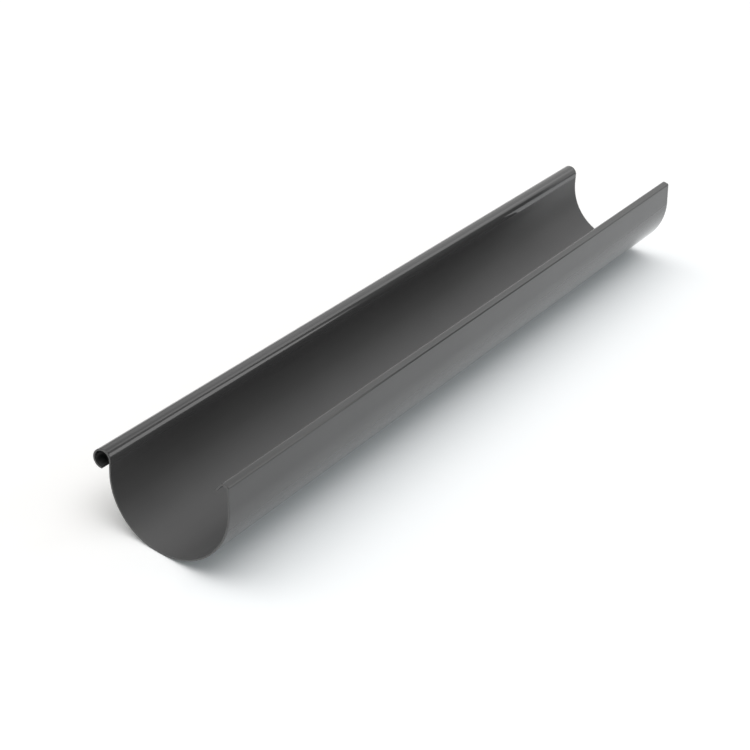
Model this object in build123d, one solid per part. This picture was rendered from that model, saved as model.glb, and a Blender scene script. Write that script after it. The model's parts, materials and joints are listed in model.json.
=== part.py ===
from build123d import *
import math
import os

# Half-round gutter section, extruded in one piece and cut square at both ends.
# X runs along the gutter. The rolled bead is at the front, on -Y, and the folded lip
# at the rear, on +Y. The bead outweighs the lip, so on a level floor the gutter lies
# tipped towards the bead, and it is drawn upright and then turned to lie like that.
# The origin is at mid length, on the line that the trough rests on.
# All sizes are in millimetres and all angles in degrees.

# The stock
length = 915.0
wall = 1.6
edge_round = 0.4        # on the four long corners of the two free edges

# The half-round trough
trough_radius = 62.5    # outside
front_lean = 3.5        # how far the curve climbs past level before the front wall

# The rolled bead along the front edge
neck_height = 9.6       # straight, between the trough and the bead
bead_radius = 9.4       # outside
bead_turn = 270.0       # the roll stops short of the wall and leaves a drip gap

# The rear edge: a plumb wall, a cap that slopes up to the inside, and a lip folded down
rear_height = 20.5
bend_radius = 2.6       # outside, for both bends
cap_width = 3.6         # straight, between the bends
cap_slope = 20.0        # above level
lip_slope = 48.0        # below level
lip_length = 9.0        # straight, from the bend to the free edge


def onward(edge, distance):
    """A straight run that carries on from the end of an edge."""
    return Line(edge @ 1, edge @ 1 + distance * (edge % 1))


def trough_curve(depth):
    """The half-round, from its front end down and round to the rear, at a depth in the wall."""
    centre = (0, trough_radius)
    return CenterArc(centre, trough_radius - depth, 180 - front_lean, 180 + front_lean)


def front_edge(curve, depth):
    """The neck and the rolled bead: here the wall turns back, so its depth adds to the radius."""
    upward = -(curve % 0)
    neck = Line(curve @ 0, curve @ 0 + neck_height * upward)
    bead = JernArc(neck @ 1, upward, bead_radius - wall + depth, bead_turn)
    return [neck, bead]


def rear_edge(curve, depth):
    """The plumb wall, the sloping cap and the lip, each carrying on from the one before."""
    inside_bend = bend_radius - depth
    plumb = onward(curve, rear_height)
    corner = JernArc(plumb @ 1, plumb % 1, inside_bend, 90 - cap_slope)
    cap = onward(corner, cap_width)
    fold = JernArc(cap @ 1, cap % 1, inside_bend, cap_slope + lip_slope)
    lip = onward(fold, lip_length)
    return [plumb, corner, cap, fold, lip]


def wall_face(depth):
    """One face of the wall as edges, with its free ends at the bead and at the lip."""
    curve = trough_curve(depth)
    front = front_edge(curve, depth)
    rear = rear_edge(curve, depth)
    return [curve] + front + rear, front[-1] @ 1, rear[-1] @ 1


def upright_section():
    """The wall's full outline: the outer face, the inner face and the two free edges."""
    outer, outer_bead_end, outer_lip_end = wall_face(0)
    inner, inner_bead_end, inner_lip_end = wall_face(wall)
    bead_edge = Line(outer_bead_end, inner_bead_end)
    lip_edge = Line(outer_lip_end, inner_lip_end)
    outline = make_face(outer + inner + [bead_edge, lip_edge])
    corners = [outer_bead_end, inner_bead_end, outer_lip_end, inner_lip_end]
    free_corners = outline.vertices().filter_by(
        lambda vertex: min((Vector(vertex) - corner).length for corner in corners) < edge_round / 2
    )
    return fillet(free_corners, edge_round)


def lying(section):
    """The section turned about the trough's axis until its weight hangs plumb below that axis."""
    trough_axis = Axis((0, trough_radius, 0), (0, 0, 1))
    weight = section.center(CenterOf.MASS)
    tip = math.degrees(math.atan2(-weight.X, trough_radius - weight.Y))
    return section.rotate(trough_axis, tip)


def gutter():
    """The section drawn out to the cut length, half to each side of the origin."""
    return extrude(Plane.YZ * lying(upright_section()), length / 2, both=True)


os.makedirs("parts", exist_ok=True)
export_step(gutter(), "parts/gutter.step")
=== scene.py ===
import bpy
import json
import math
from mathutils import Matrix, Vector


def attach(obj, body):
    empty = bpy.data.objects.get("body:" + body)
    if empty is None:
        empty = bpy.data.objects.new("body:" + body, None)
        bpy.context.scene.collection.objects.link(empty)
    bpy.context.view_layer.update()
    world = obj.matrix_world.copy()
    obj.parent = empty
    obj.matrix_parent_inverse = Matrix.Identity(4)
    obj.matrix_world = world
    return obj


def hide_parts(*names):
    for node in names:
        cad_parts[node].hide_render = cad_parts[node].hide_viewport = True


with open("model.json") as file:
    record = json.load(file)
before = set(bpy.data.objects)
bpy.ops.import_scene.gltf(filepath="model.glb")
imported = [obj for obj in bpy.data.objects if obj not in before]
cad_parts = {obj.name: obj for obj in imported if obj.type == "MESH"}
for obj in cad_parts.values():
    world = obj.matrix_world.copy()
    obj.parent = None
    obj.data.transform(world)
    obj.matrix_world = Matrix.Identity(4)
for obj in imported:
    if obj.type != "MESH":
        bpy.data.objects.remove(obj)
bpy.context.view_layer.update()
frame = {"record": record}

# The gutter lies as it comes to rest, tipped towards its bead. The front clip's axis
# is plumb when the gutter is fitted, so it tells how far.
hookAxis = next(m["axis"] for m in frame["record"]["mounts"] if m["name"] == "front_bead")
tip = math.atan2(-hookAxis[1], hookAxis[2])


# Small helpers for node trees

def addNode(tree, kind, inputs=None, **settings):
    node = tree.nodes.new(kind)
    for key, value in settings.items():
        setattr(node, key, value)
    for key, value in (inputs or {}).items():
        if isinstance(value, bpy.types.NodeSocket):
            tree.links.new(value, node.inputs[key])
        else:
            node.inputs[key].default_value = value
    return node


def addInput(tree, name, kind="NodeSocketFloat"):
    return tree.interface.new_socket(name=name, in_out="INPUT", socket_type=kind)


def addOutput(tree, name, kind="NodeSocketFloat"):
    return tree.interface.new_socket(name=name, in_out="OUTPUT", socket_type=kind)


def calc(tree, operation, *values):
    return addNode(tree, "ShaderNodeMath", dict(enumerate(values)), operation=operation).outputs[0]


def calcVector(tree, operation, *values):
    return addNode(tree, "ShaderNodeVectorMath", dict(enumerate(values)), operation=operation).outputs[0]


def scaled(tree, vector, factor):
    return addNode(tree, "ShaderNodeVectorMath", {0: vector, "Scale": factor}, operation="SCALE").outputs[0]


def joined(tree, x, y, z):
    return addNode(tree, "ShaderNodeCombineXYZ", {"X": x, "Y": y, "Z": z}).outputs[0]


def parted(tree, vector):
    return addNode(tree, "ShaderNodeSeparateXYZ", {0: vector}).outputs


# A vector as it would be with the gutter standing level
def levelled(tree, vector):
    return addNode(tree, "ShaderNodeVectorRotate", {"Vector": vector, "Angle": -tip},
                   rotation_type="X_AXIS").outputs[0]


# The gutter's shape

gutterLook = {          # metres and degrees
    "length": 0.915,
    "wall": 0.0016,
    "edgeRound": 0.0004,        # along the two free edges
    "sawRound": 0.00015,        # round the sawn ends
    "troughRadius": 0.0625,     # outside, as all radii here
    "frontLean": 3.5,
    "neckHeight": 0.0096,
    "beadRadius": 0.0094,
    "beadTurn": 270.0,
    "rearHeight": 0.0205,
    "bendRadius": 0.0026,
    "capWidth": 0.0036,
    "capSlope": 20.0,
    "lipSlope": 48.0,
    "lipLength": 0.009,
    "cornerSteps": 4,           # points round each free edge's corner
}

gutterMesh = {          # how finely it is made
    "beadSteps": 90,            # along each run of the wall
    "neckSteps": 6,
    "troughSteps": 122,
    "rearSteps": 10,
    "bendSteps": 16,
    "capSteps": 4,
    "foldSteps": 12,
    "lipSteps": 6,
    "edgeRows": (0.3, 0.7),     # rows within the sawn edge's rounding, as shares of it
    "endRows": (0.0012, 0.010),     # metres, the next two rows from each end
    "middleRows": 4,
    "weld": 0.000001,           # metres
    "sawnFacing": 0.9,          # faces that look along the gutter by more than this are sawn
}


# One run of the wall, straight or an arc, added to the moves and swings of the runs before it

def wallRunGroup():
    tree = bpy.data.node_groups.new("wallRun", "GeometryNodeTree")
    for name in ("Point", "First", "Steps"):
        addInput(tree, name, "NodeSocketInt")
    for name in ("Length", "Turn", "Move", "Swing"):
        addInput(tree, name)
    addOutput(tree, "Next", "NodeSocketInt")
    addOutput(tree, "Move")
    addOutput(tree, "Swing")
    ins = tree.nodes.new("NodeGroupInput").outputs
    # half a step below a whole number tells whether a point has reached it
    after = calc(tree, "ADD", ins["First"], ins["Steps"])
    begun = calc(tree, "GREATER_THAN", ins["Point"], calc(tree, "SUBTRACT", ins["First"], 0.5))
    ended = calc(tree, "GREATER_THAN", ins["Point"], calc(tree, "SUBTRACT", after, 0.5))
    within = calc(tree, "SUBTRACT", begun, ended)
    swing = calc(tree, "DIVIDE", ins["Turn"], ins["Steps"])
    # the chord of a short arc is shorter than the arc by its turn squared over 24
    shorter = calc(tree, "DIVIDE", calc(tree, "MULTIPLY", swing, swing), 24.0)
    chord = calc(tree, "MULTIPLY", calc(tree, "DIVIDE", ins["Length"], ins["Steps"]),
                 calc(tree, "SUBTRACT", 1.0, shorter))
    outs = tree.nodes.new("NodeGroupOutput").inputs
    tree.links.new(after, outs["Next"])
    tree.links.new(calc(tree, "MULTIPLY_ADD", within, chord, ins["Move"]), outs["Move"])
    tree.links.new(calc(tree, "MULTIPLY_ADD", within, swing, ins["Swing"]), outs["Swing"])
    return tree


# The wall from the bead's free edge to the lip's, each run with its length, turn and steps

def wallRuns(tree, ins, halfWall):
    capSlope = calc(tree, "RADIANS", ins["capSlope"])
    beadTurn = calc(tree, "RADIANS", ins["beadTurn"])
    troughTurn = calc(tree, "ADD", math.pi, calc(tree, "RADIANS", ins["frontLean"]))
    bendTurn = calc(tree, "SUBTRACT", math.pi / 2, capSlope)
    foldTurn = calc(tree, "ADD", capSlope, calc(tree, "RADIANS", ins["lipSlope"]))

    def arc(turn, radius):
        return calc(tree, "MULTIPLY", turn, calc(tree, "SUBTRACT", ins[radius], halfWall))

    return [
        (arc(beadTurn, "beadRadius"), calc(tree, "MULTIPLY", beadTurn, -1.0), gutterMesh["beadSteps"]),
        (ins["neckHeight"], 0.0, gutterMesh["neckSteps"]),
        (arc(troughTurn, "troughRadius"), troughTurn, gutterMesh["troughSteps"]),
        (ins["rearHeight"], 0.0, gutterMesh["rearSteps"]),
        (arc(bendTurn, "bendRadius"), bendTurn, gutterMesh["bendSteps"]),
        (ins["capWidth"], 0.0, gutterMesh["capSteps"]),
        (arc(foldTurn, "bendRadius"), foldTurn, gutterMesh["foldSteps"]),
        (ins["lipLength"], 0.0, gutterMesh["lipSteps"]),
    ]


troughRun, rearRun = 2, 3       # their places among the runs


# The sum of a value over the points before this one, in each column of the ribbon

def summed(tree, value, column, kind):
    return addNode(tree, "GeometryNodeAccumulateField", {0: value, "Group ID": column},
                   data_type=kind, domain="POINT").outputs["Trailing"]


# The wall's middle line: the heading at each point, and where the moves before it lead

def wallLine(tree, ins, runs, point, column):
    wallRun = wallRunGroup()
    first, move, swing = 0, 0.0, 0.0
    for length, turn, steps in runs:
        run = addNode(tree, "GeometryNodeGroup", {
            "Point": point, "First": first, "Steps": steps, "Length": length,
            "Turn": turn, "Move": move, "Swing": swing}, node_tree=wallRun).outputs
        first, move, swing = run["Next"], run["Move"], run["Swing"]
    # the rear wall is plumb before the tip, and the turns before it lead back to the start
    start = calc(tree, "ADD", math.pi / 2, ins["tip"])
    for length, turn, steps in reversed(runs[:rearRun]):
        start = calc(tree, "SUBTRACT", start, turn)
    heading = calc(tree, "ADD", start, summed(tree, swing, column, "FLOAT"))
    midHeading = calc(tree, "MULTIPLY_ADD", swing, 0.5, heading)
    step = joined(tree, 0.0, calc(tree, "MULTIPLY", move, calc(tree, "COSINE", midHeading)),
                  calc(tree, "MULTIPLY", move, calc(tree, "SINE", midHeading)))
    return summed(tree, step, column, "FLOAT_VECTOR"), heading


# The middle line moved so that the trough's axis is at its own height over the floor

def seatedLine(tree, ins, runs, middle, across, halfWall):
    toAxis = scaled(tree, across, calc(tree, "SUBTRACT", ins["troughRadius"], halfWall))
    troughStart = sum(steps for length, turn, steps in runs[:troughRun])
    axisNow = addNode(tree, "GeometryNodeFieldAtIndex", {
        "Index": troughStart, "Value": calcVector(tree, "ADD", middle, toAxis)},
        data_type="FLOAT_VECTOR", domain="POINT").outputs[0]
    axisWanted = joined(tree, calc(tree, "MULTIPLY", ins["length"], -0.5), 0.0, ins["troughRadius"])
    return calcVector(tree, "ADD", middle, calcVector(tree, "SUBTRACT", axisWanted, axisNow))


# How far each column is from the wall's middle, and how far it is pulled in at a free edge

def columnPlaces(tree, ins, column, halfWall):
    # the columns close up towards the two faces, where the free edges round
    fromMiddle = calc(tree, "SUBTRACT", calc(tree, "ADD", column, 0.5), ins["cornerSteps"])
    stepsOut = calc(tree, "SUBTRACT", calc(tree, "ABSOLUTE", fromMiddle), 0.5)
    lastStep = calc(tree, "SUBTRACT", ins["cornerSteps"], 1.0)
    cornerAngle = calc(tree, "MULTIPLY", calc(tree, "DIVIDE", stepsOut, lastStep), math.pi / 2)
    flat = calc(tree, "SUBTRACT", halfWall, ins["edgeRound"])
    outwards = calc(tree, "MULTIPLY_ADD", ins["edgeRound"], calc(tree, "SINE", cornerAngle), flat)
    depth = calc(tree, "MULTIPLY", calc(tree, "SIGN", fromMiddle), outwards)
    short = calc(tree, "SUBTRACT", 1.0, calc(tree, "COSINE", cornerAngle))
    return depth, calc(tree, "MULTIPLY", ins["edgeRound"], short)


# The section at one end, a ribbon of faces that fills the wall

def wallSection(tree, ins):
    halfWall = calc(tree, "MULTIPLY", ins["wall"], 0.5)
    runs = wallRuns(tree, ins, halfWall)
    pointCount = 1 + sum(steps for length, turn, steps in runs)
    ribbon = addNode(tree, "GeometryNodeMeshGrid", {
        "Size X": 1.0, "Size Y": 1.0, "Vertices Y": pointCount,
        "Vertices X": calc(tree, "MULTIPLY", ins["cornerSteps"], 2.0)}).outputs["Mesh"]
    index = addNode(tree, "GeometryNodeInputIndex").outputs[0]
    point = calc(tree, "MODULO", index, float(pointCount))
    counted = calc(tree, "DIVIDE", calc(tree, "ADD", index, 0.5), float(pointCount))
    column = calc(tree, "FLOOR", counted)

    middle, heading = wallLine(tree, ins, runs, point, column)
    forwards, upwards = calc(tree, "COSINE", heading), calc(tree, "SINE", heading)
    along = joined(tree, 0.0, forwards, upwards)
    across = joined(tree, 0.0, calc(tree, "MULTIPLY", upwards, -1.0), forwards)
    seated = seatedLine(tree, ins, runs, middle, across, halfWall)
    depth, pulledIn = columnPlaces(tree, ins, column, halfWall)

    # half a step tells the first and the last point from the rest
    atStart = calc(tree, "LESS_THAN", point, 0.5)
    atEnd = calc(tree, "GREATER_THAN", point, pointCount - 1.5)
    inwards = calc(tree, "SUBTRACT", atStart, atEnd)
    place = calcVector(tree, "ADD", seated, scaled(tree, across, depth))
    place = calcVector(tree, "ADD", place, scaled(tree, along, calc(tree, "MULTIPLY", inwards, pulledIn)))
    laid = addNode(tree, "GeometryNodeSetPosition", {"Geometry": ribbon, "Position": place}).outputs[0]
    # each point keeps which way is into the wall, for the rounding of the sawn ends
    intoWall = calcVector(tree, "SUBTRACT", scaled(tree, along, inwards),
                          scaled(tree, across, calc(tree, "DIVIDE", depth, halfWall)))
    return addNode(tree, "GeometryNodeStoreNamedAttribute", {
        "Geometry": laid, "Name": "intoWall", "Value": intoWall},
        data_type="FLOAT_VECTOR", domain="POINT").outputs[0]


# The section drawn out along X, in rows that stand closer near the sawn ends

def drawnOut(tree, ins, section):
    nearRows = [calc(tree, "MULTIPLY", ins["sawRound"], share) for share in gutterMesh["edgeRows"]]
    nearRows.extend(gutterMesh["endRows"])
    nearSum = nearRows[0]
    for row in nearRows[1:]:
        nearSum = calc(tree, "ADD", nearSum, row)
    middleRows = gutterMesh["middleRows"]
    span = calc(tree, "DIVIDE", calc(tree, "MULTIPLY_ADD", nearSum, -2.0, ins["length"]), float(middleRows))
    mesh, top = section, True
    for row in nearRows + [span] * middleRows + nearRows[::-1]:
        drawn = addNode(tree, "GeometryNodeExtrudeMesh", {
            "Mesh": mesh, "Selection": top, "Offset": joined(tree, row, 0.0, 0.0),
            "Offset Scale": 1.0, "Individual": False})
        mesh, top = drawn.outputs["Mesh"], drawn.outputs["Top"]
    backEnd = addNode(tree, "GeometryNodeFlipFaces", {"Mesh": section}).outputs[0]
    both = addNode(tree, "GeometryNodeJoinGeometry")
    tree.links.new(mesh, both.inputs[0])
    tree.links.new(backEnd, both.inputs[0])
    return addNode(tree, "GeometryNodeMergeByDistance", {
        "Geometry": both.outputs[0], "Distance": gutterMesh["weld"]}).outputs[0]


# The sawn ends' edges pulled in to a quarter circle

def roundedEnds(tree, ins, mesh):
    position = addNode(tree, "GeometryNodeInputPosition").outputs[0]
    fromMiddle = calc(tree, "ABSOLUTE", parted(tree, position)["X"])
    toSaw = calc(tree, "SUBTRACT", calc(tree, "MULTIPLY", ins["length"], 0.5), fromMiddle)
    clear = calc(tree, "MINIMUM", calc(tree, "DIVIDE", toSaw, ins["sawRound"]), 1.0)
    share = calc(tree, "SUBTRACT", 1.0, clear)
    square = calc(tree, "SUBTRACT", 1.0, calc(tree, "MULTIPLY", share, share))
    inset = calc(tree, "SUBTRACT", 1.0, calc(tree, "SQRT", calc(tree, "MAXIMUM", square, 0.0)))
    intoWall = addNode(tree, "GeometryNodeInputNamedAttribute", {"Name": "intoWall"},
                       data_type="FLOAT_VECTOR").outputs[0]
    offset = scaled(tree, intoWall, calc(tree, "MULTIPLY", inset, ins["sawRound"]))
    rounded = addNode(tree, "GeometryNodeSetPosition", {"Geometry": mesh, "Offset": offset}).outputs[0]
    return addNode(tree, "GeometryNodeRemoveAttribute", {"Geometry": rounded, "Name": "intoWall"}).outputs[0]


# Smooth all over but for the flat sawn faces, and the two finishes

def dressed(tree, mesh, plastic, sawn):
    normal = addNode(tree, "GeometryNodeInputNormal").outputs[0]
    facing = calc(tree, "ABSOLUTE", parted(tree, normal)["X"])
    isSawn = calc(tree, "GREATER_THAN", facing, gutterMesh["sawnFacing"])
    isDrawn = calc(tree, "LESS_THAN", facing, gutterMesh["sawnFacing"])
    smooth = addNode(tree, "GeometryNodeSetShadeSmooth", {"Geometry": mesh, "Shade Smooth": isDrawn},
                     domain="FACE").outputs[0]
    real = addNode(tree, "GeometryNodeRealizeInstances", {"Geometry": smooth}).outputs[0]
    whole = addNode(tree, "GeometryNodeSetMaterial", {"Geometry": real, "Material": plastic}).outputs[0]
    return addNode(tree, "GeometryNodeSetMaterial", {
        "Geometry": whole, "Selection": isSawn, "Material": sawn}).outputs[0]


def gutterTree(plastic, sawn):
    tree = bpy.data.node_groups.new("gutterSection", "GeometryNodeTree")
    for name in gutterLook:
        addInput(tree, name, "NodeSocketInt" if name == "cornerSteps" else "NodeSocketFloat")
    addInput(tree, "tip")
    addOutput(tree, "Geometry", "NodeSocketGeometry")
    ins = tree.nodes.new("NodeGroupInput").outputs
    mesh = drawnOut(tree, ins, wallSection(tree, ins))
    mesh = dressed(tree, roundedEnds(tree, ins, mesh), plastic, sawn)
    outs = tree.nodes.new("NodeGroupOutput").inputs
    tree.links.new(mesh, outs["Geometry"])
    return tree


def plainMesh(name, tree, values):
    holder = bpy.data.objects.new(name + "Maker", bpy.data.meshes.new(name + "Seed"))
    bpy.context.scene.collection.objects.link(holder)
    modifier = holder.modifiers.new("shape", "NODES")
    modifier.node_group = tree
    for item in tree.interface.items_tree:
        if item.in_out == "INPUT" and item.name in values:
            modifier[item.identifier] = values[item.name]
    evaluated = holder.evaluated_get(bpy.context.evaluated_depsgraph_get())
    mesh = bpy.data.meshes.new_from_object(evaluated)
    holder.modifiers.clear()
    bpy.data.objects.remove(holder)
    mesh.name = name
    piece = bpy.data.objects.new(name, mesh)
    bpy.context.scene.collection.objects.link(piece)
    return piece


# Finishes

plasticLook = {         # linear colours
    "deepTone": (0.067, 0.067, 0.067),
    "paleTone": (0.078, 0.078, 0.078),
    "cloudShare": 0.7,          # of the tone, and the streaks' patches have the rest
    "roughness": 0.03,
    "insideRoughness": 0.48,    # the trough's inside cools without touching the die
    "insideTop": 0.0105,        # metres over the trough's axis, where it gets glossy
    "insideEdge": 0.001,
    "roughnessSpread": 0.015,
    "wearPatchShare": 0.5,      # of that spread, and the clouds have the rest
    "cloudSize": 0.09,          # metres, the slow change of tone along the wall
    "streakWidth": 0.0016,      # metres, the lines that the die leaves along the gutter
    "streakLength": 0.9,
    "streakHeight": 0.000002,
    "grainSize": 0.0004,
    "grainHeight": 0.0000015,
}

sawnLook = {
    "deepTone": (0.082, 0.082, 0.082),
    "paleTone": (0.112, 0.112, 0.112),
    "strokeShare": 0.6,         # of the tone, and the grain has the rest
    "roughness": 0.42,
    "roughnessSpread": 0.12,
    "strokeWidth": 0.00028,     # metres, the marks of the saw's teeth
    "strokeLength": 0.012,
    "strokeSlant": 62.0,        # degrees from level
    "strokeHeight": 0.00002,
    "grainSize": 0.00025,
    "grainHeight": 0.000006,
}

noiseLook = {           # the detail and roughness of each noise
    "lines": (3.0, 0.6),
    "patches": (2.0, 0.5),
    "patchScale": 0.16,         # against the lines' own
    "grain": (2.0, 0.55),
    "clouds": (4.0, 0.55),
    "span": (0.3, 0.7),         # where nearly all of a noise's values lie
}

mixSockets = {"FLOAT": (2, 3, 0), "RGBA": (6, 7, 2)}    # a Mix node's two inputs and its output, by kind


def newMaterial(name):
    material = bpy.data.materials.new(name)
    material.use_nodes = True
    tree = material.node_tree
    return material, tree, tree.nodes["Principled BSDF"]


def objectPlace(tree):
    return addNode(tree, "ShaderNodeTexCoord").outputs["Object"]


def noise(tree, vector, name):
    detail, roughness = noiseLook[name]
    return addNode(tree, "ShaderNodeTexNoise", {
        "Vector": vector, "Scale": 1.0, "Detail": detail, "Roughness": roughness}).outputs["Fac"]


# Lines drawn out one way: long in X of the given coordinates, narrow across

def streakGroup():
    tree = bpy.data.node_groups.new("drawnStreaks", "ShaderNodeTree")
    addInput(tree, "Vector", "NodeSocketVector")
    addInput(tree, "Width")
    addInput(tree, "Length")
    addOutput(tree, "Lines")
    addOutput(tree, "Patches")
    ins = tree.nodes.new("NodeGroupInput").outputs
    across = calc(tree, "DIVIDE", 1.0, ins["Width"])
    scale = joined(tree, calc(tree, "DIVIDE", 1.0, ins["Length"]), across, across)
    drawn = calcVector(tree, "MULTIPLY", ins["Vector"], scale)
    outs = tree.nodes.new("NodeGroupOutput").inputs
    tree.links.new(noise(tree, drawn, "lines"), outs["Lines"])
    tree.links.new(noise(tree, scaled(tree, drawn, noiseLook["patchScale"]), "patches"), outs["Patches"])
    return tree


# The fine grain of the plastic, and the slow clouds of tone in it

def grainGroup():
    tree = bpy.data.node_groups.new("plasticGrain", "ShaderNodeTree")
    addInput(tree, "Vector", "NodeSocketVector")
    addInput(tree, "Grain Size")
    addInput(tree, "Cloud Size")
    addOutput(tree, "Grain")
    addOutput(tree, "Clouds")
    ins = tree.nodes.new("NodeGroupInput").outputs
    outs = tree.nodes.new("NodeGroupOutput").inputs
    for size, output in (("Grain Size", "Grain"), ("Cloud Size", "Clouds")):
        sized = scaled(tree, ins["Vector"], calc(tree, "DIVIDE", 1.0, ins[size]))
        tree.links.new(noise(tree, sized, output.lower()), outs[output])
    return tree


def mix(tree, kind, factor, low, high):
    lowSocket, highSocket, result = mixSockets[kind]
    return addNode(tree, "ShaderNodeMix", {"Factor": factor, lowSocket: low, highSocket: high},
                   data_type=kind).outputs[result]


def tones(tree, value, deep, pale):
    return mix(tree, "RGBA", value, (*deep, 1.0), (*pale, 1.0))


def sumOf(tree, first, share, second, otherShare):
    return calc(tree, "MULTIPLY_ADD", first, share, calc(tree, "MULTIPLY", second, otherShare))


def shared(tree, first, second, share):     # so much of the first, and the rest of the second
    return sumOf(tree, first, share, second, 1.0 - share)


def spread(tree, value, middle, width):
    low, high = noiseLook["span"]
    return addNode(tree, "ShaderNodeMapRange", {
        "Value": value, "From Min": low, "From Max": high,
        "To Min": middle - width / 2, "To Max": middle + width / 2}).outputs["Result"]


def ramp(tree, value, start, end, low=0.0, high=1.0):
    return addNode(tree, "ShaderNodeMapRange", {
        "Value": value, "From Min": start, "From Max": end, "To Min": low, "To Max": high},
        interpolation_type="SMOOTHSTEP").outputs["Result"]


def fade(tree, value, place, width, after=False):
    start, end = place - width / 2, place + width / 2
    return ramp(tree, value, start, end, 1.0, 0.0) if after else ramp(tree, value, start, end)


def setTone(tree, shader, value, look):
    colour = tones(tree, spread(tree, value, 0.5, 1.0), look["deepTone"], look["paleTone"])
    tree.links.new(colour, shader.inputs["Base Color"])


def setBump(tree, shader, height):
    bump = addNode(tree, "ShaderNodeBump", {"Height": height, "Strength": 1.0, "Distance": 1.0})
    tree.links.new(bump.outputs["Normal"], shader.inputs["Normal"])


# 1 on the dull inside of the half-round and 0 elsewhere, found from the trough's own axis

def insideTrough(tree, here):
    overAxis = calcVector(tree, "SUBTRACT", here, (0.0, 0.0, gutterLook["troughRadius"]))
    part = parted(tree, levelled(tree, overAxis))
    squares = calc(tree, "MULTIPLY_ADD", part["Y"], part["Y"], calc(tree, "MULTIPLY", part["Z"], part["Z"]))
    midWall = gutterLook["troughRadius"] - gutterLook["wall"] / 2
    within = calc(tree, "LESS_THAN", calc(tree, "SQRT", squares), midWall)
    below = fade(tree, part["Z"], plasticLook["insideTop"], plasticLook["insideEdge"], after=True)
    return calc(tree, "MULTIPLY", within, below)


# Graphite plastic as it leaves the die: glossy outside, on the bead and on the cap

def gutterPlastic(streaks, grain):
    look = plasticLook
    material, tree, shader = newMaterial("gutterPlastic")
    here = objectPlace(tree)
    drawn = addNode(tree, "ShaderNodeGroup", {
        "Vector": here, "Width": look["streakWidth"], "Length": look["streakLength"]},
        node_tree=streaks).outputs
    fine = addNode(tree, "ShaderNodeGroup", {
        "Vector": here, "Grain Size": look["grainSize"], "Cloud Size": look["cloudSize"]},
        node_tree=grain).outputs
    setTone(tree, shader, shared(tree, fine["Clouds"], drawn["Patches"], look["cloudShare"]), look)
    finish = mix(tree, "FLOAT", insideTrough(tree, here), look["roughness"], look["insideRoughness"])
    wear = shared(tree, drawn["Patches"], fine["Clouds"], look["wearPatchShare"])
    uneven = spread(tree, wear, 0.0, look["roughnessSpread"])
    tree.links.new(calc(tree, "ADD", finish, uneven), shader.inputs["Roughness"])
    relief = sumOf(tree, drawn["Lines"], look["streakHeight"], fine["Grain"], look["grainHeight"])
    setBump(tree, shader, relief)
    return material


# The two cut ends, with the slanting marks of the saw

def sawnPlastic(streaks, grain):
    look = sawnLook
    material, tree, shader = newMaterial("sawnPlastic")
    here = objectPlace(tree)
    # the strokes lie in the cut's own plane, so X of the streaks is turned into it
    inPlane = addNode(tree, "ShaderNodeMapping", {
        "Vector": here, "Rotation": (math.radians(-look["strokeSlant"]), 0.0, math.pi / 2)},
        vector_type="POINT").outputs[0]
    drawn = addNode(tree, "ShaderNodeGroup", {
        "Vector": inPlane, "Width": look["strokeWidth"], "Length": look["strokeLength"]},
        node_tree=streaks).outputs
    fine = addNode(tree, "ShaderNodeGroup", {"Vector": here, "Grain Size": look["grainSize"]},
                   node_tree=grain).outputs
    setTone(tree, shader, shared(tree, drawn["Lines"], fine["Grain"], look["strokeShare"]), look)
    tree.links.new(spread(tree, drawn["Lines"], look["roughness"], look["roughnessSpread"]),
                   shader.inputs["Roughness"])
    relief = sumOf(tree, drawn["Lines"], look["strokeHeight"], fine["Grain"], look["grainHeight"])
    setBump(tree, shader, relief)
    return material


# Camera

cameraLook = {          # for the gutter standing level, before the tip
    "place": (1.5015, 0.8346, 0.7718),
    "turn": 31.218,             # off the gutter's own line
    "pitch": 24.38,             # downwards
    "lens": 86.29,
    "sensor": 36.0,
}


def placeCamera():
    turn, pitch = math.radians(cameraLook["turn"]), math.radians(cameraLook["pitch"])
    ahead = Vector((-math.cos(turn) * math.cos(pitch), -math.sin(turn) * math.cos(pitch), -math.sin(pitch)))
    right = Vector((-math.sin(turn), math.cos(turn), 0.0))
    level = Matrix((right, right.cross(ahead), -ahead)).transposed().to_4x4()
    level.translation = Vector(cameraLook["place"])
    # the camera tips with the gutter, about the trough's axis
    troughAxis = Matrix.Translation((0.0, 0.0, gutterLook["troughRadius"]))
    lens = bpy.data.cameras.new("photoCamera")
    lens.lens = cameraLook["lens"]
    lens.sensor_width = cameraLook["sensor"]
    camera = bpy.data.objects.new("photoCamera", lens)
    camera.matrix_world = troughAxis @ Matrix.Rotation(tip, 4, "X") @ troughAxis.inverted() @ level
    bpy.context.scene.collection.objects.link(camera)
    bpy.context.scene.camera = camera


placeCamera()
print("camera: set at the photo's angle")

# The gutter
streaks, grain = streakGroup(), grainGroup()
tree = gutterTree(gutterPlastic(streaks, grain), sawnPlastic(streaks, grain))
gutter = plainMesh("gutterLength", tree, dict(gutterLook, tip=tip))
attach(gutter, "root")
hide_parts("gutter")
print("gutter:", len(gutter.data.polygons), "faces, tipped", round(math.degrees(tip), 2), "degrees")


# The studio: a white floor, and a dark room with soft white panels round it

floorLook = {
    "reach": 6.0,               # metres each way
    "white": 0.9,
    "frontPaintedFill": (0.080, 0.076, 0.064),     # painted fill light that the camera and reflections see on top, warm, lifting the shadow in front
    "rearPaintedFill": (0.100, 0.120, 0.130),      # and cool painted fill light lifting the shadow behind
    "paintedFillBlend": 0.10,          # metres, over which the painted fill turns from warm to cool
}

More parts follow.
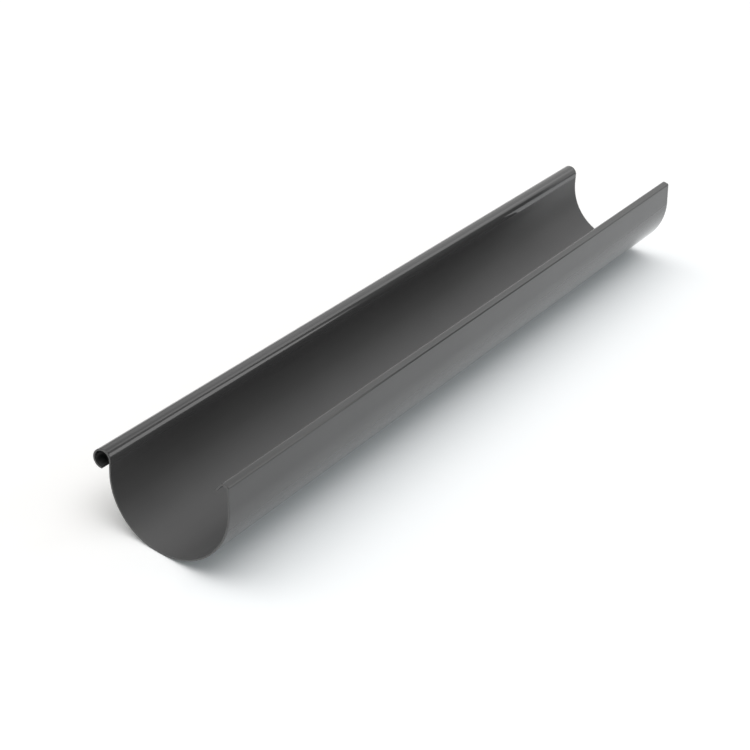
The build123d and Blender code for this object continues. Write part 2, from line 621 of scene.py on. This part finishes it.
# Directions in degrees for the gutter standing level. Azimuth goes from -X towards +Y.
# Each edge of a panel is its place and how wide it fades.
studioLook = {
    "room": 0.02,               # the strength where nothing else shines
    "lean": 0.16,               # degrees of azimuth for each degree over leanFrom
    "leanFrom": 20.0,
    "panels": [
        {"from": (-42.0, 44.0), "to": (28.0, 1.0), "low": (-2.0, 2.0), "high": (46.0, 12.0), "white": 0.85},
        {"from": (12.0, 10.0), "to": (28.0, 1.0), "low": (22.0, 12.0), "high": (46.0, 12.0), "white": 0.65},
        {"from": (35.7, 2.4), "to": (52.0, 6.0), "low": (7.5, 6.0), "high": (29.0, 5.0), "white": 2.3},
        {"from": (52.0, 6.0), "to": (92.0, 24.0), "low": (7.0, 6.0), "high": (46.0, 12.0), "white": 0.3},
    ],
    "lamps": [              # round, each with its edge as a panel's
        {"azimuth": 115.0, "height": 81.0, "edge": (34.0, 30.0), "white": 2.25},
        {"azimuth": -140.0, "height": 50.0, "edge": (26.0, 24.0), "white": 1.5},
    ],
}


def panelMask(tree, azimuth, height, panel):
    mask = fade(tree, azimuth, *panel["from"])
    mask = calc(tree, "MULTIPLY", mask, fade(tree, height, *panel["low"]))
    mask = calc(tree, "MULTIPLY", mask, fade(tree, azimuth, *panel["to"], after=True))
    return calc(tree, "MULTIPLY", mask, fade(tree, height, *panel["high"], after=True))


def lampMask(tree, direction, lamp):
    turn, rise = math.radians(lamp["azimuth"]), math.radians(lamp["height"])
    middle = (-math.cos(turn) * math.cos(rise), math.sin(turn) * math.cos(rise), math.sin(rise))
    towards = addNode(tree, "ShaderNodeVectorMath", {0: direction, 1: middle}, operation="DOT_PRODUCT")
    offLamp = calc(tree, "DEGREES", calc(tree, "ARCCOSINE", towards.outputs["Value"]))
    return fade(tree, offLamp, *lamp["edge"], after=True)


def studioWorld():
    look = studioLook
    world = bpy.data.worlds.new("studio")
    world.use_nodes = True
    tree = world.node_tree
    bpy.context.scene.world = world
    direction = levelled(tree, addNode(tree, "ShaderNodeTexCoord").outputs["Generated"])
    part = parted(tree, direction)
    away = calc(tree, "MULTIPLY", part["X"], -1.0)
    azimuth = calc(tree, "DEGREES", calc(tree, "ARCTAN2", part["Y"], away))
    height = calc(tree, "DEGREES", calc(tree, "ARCSINE", part["Z"]))
    # the panels' upright edges lean a little
    rise = calc(tree, "SUBTRACT", height, look["leanFrom"])
    azimuth = calc(tree, "MULTIPLY_ADD", rise, look["lean"], azimuth)
    light = look["room"]
    for panel in look["panels"]:
        light = calc(tree, "MULTIPLY_ADD", panelMask(tree, azimuth, height, panel), panel["white"], light)
    for lamp in look["lamps"]:
        light = calc(tree, "MULTIPLY_ADD", lampMask(tree, direction, lamp), lamp["white"], light)
    # the camera itself sees plain white behind the floor
    path = addNode(tree, "ShaderNodeLightPath").outputs
    background = tree.nodes["Background"].inputs
    tree.links.new(mix(tree, "FLOAT", path["Is Camera Ray"], light, 1.0), background["Strength"])
    background["Color"].default_value = (1.0, 1.0, 1.0, 1.0)


def studioFloor():
    look = floorLook
    reach = look["reach"]
    mesh = bpy.data.meshes.new("studioFloor")
    corners = [(x * reach, y * reach, 0.0) for x, y in ((-1, -1), (1, -1), (1, 1), (-1, 1))]
    mesh.from_pydata(corners, [], [(0, 1, 2, 3)])
    floor = bpy.data.objects.new("studioFloor", mesh)
    bpy.context.scene.collection.objects.link(floor)
    material, tree, shader = newMaterial("studioFloor")
    shader.inputs["Base Color"].default_value = (look["white"],) * 3 + (1.0,)
    shader.inputs["Roughness"].default_value = 1.0
    shader.inputs["Specular IOR Level"].default_value = 0.0
    # the floor glows with painted fill light for the camera and in reflections, warm in front and cool
    # behind, which lifts and tints its shadows
    side = ramp(tree, parted(tree, objectPlace(tree))["Y"], -look["paintedFillBlend"], look["paintedFillBlend"])
    tree.links.new(tones(tree, side, look["frontPaintedFill"], look["rearPaintedFill"]), shader.inputs["Emission Color"])
    path = addNode(tree, "ShaderNodeLightPath").outputs
    mirrored = calc(tree, "MAXIMUM", path["Is Glossy Ray"], path["Is Transmission Ray"])
    seen = calc(tree, "MAXIMUM", path["Is Camera Ray"], mirrored)
    tree.links.new(seen, shader.inputs["Emission Strength"])
    mesh.materials.append(material)


studioWorld()
studioFloor()
print("studio: floor and", len(studioLook["panels"] + studioLook["lamps"]), "soft lights")

bpy.context.scene.view_settings.view_transform = "Standard"
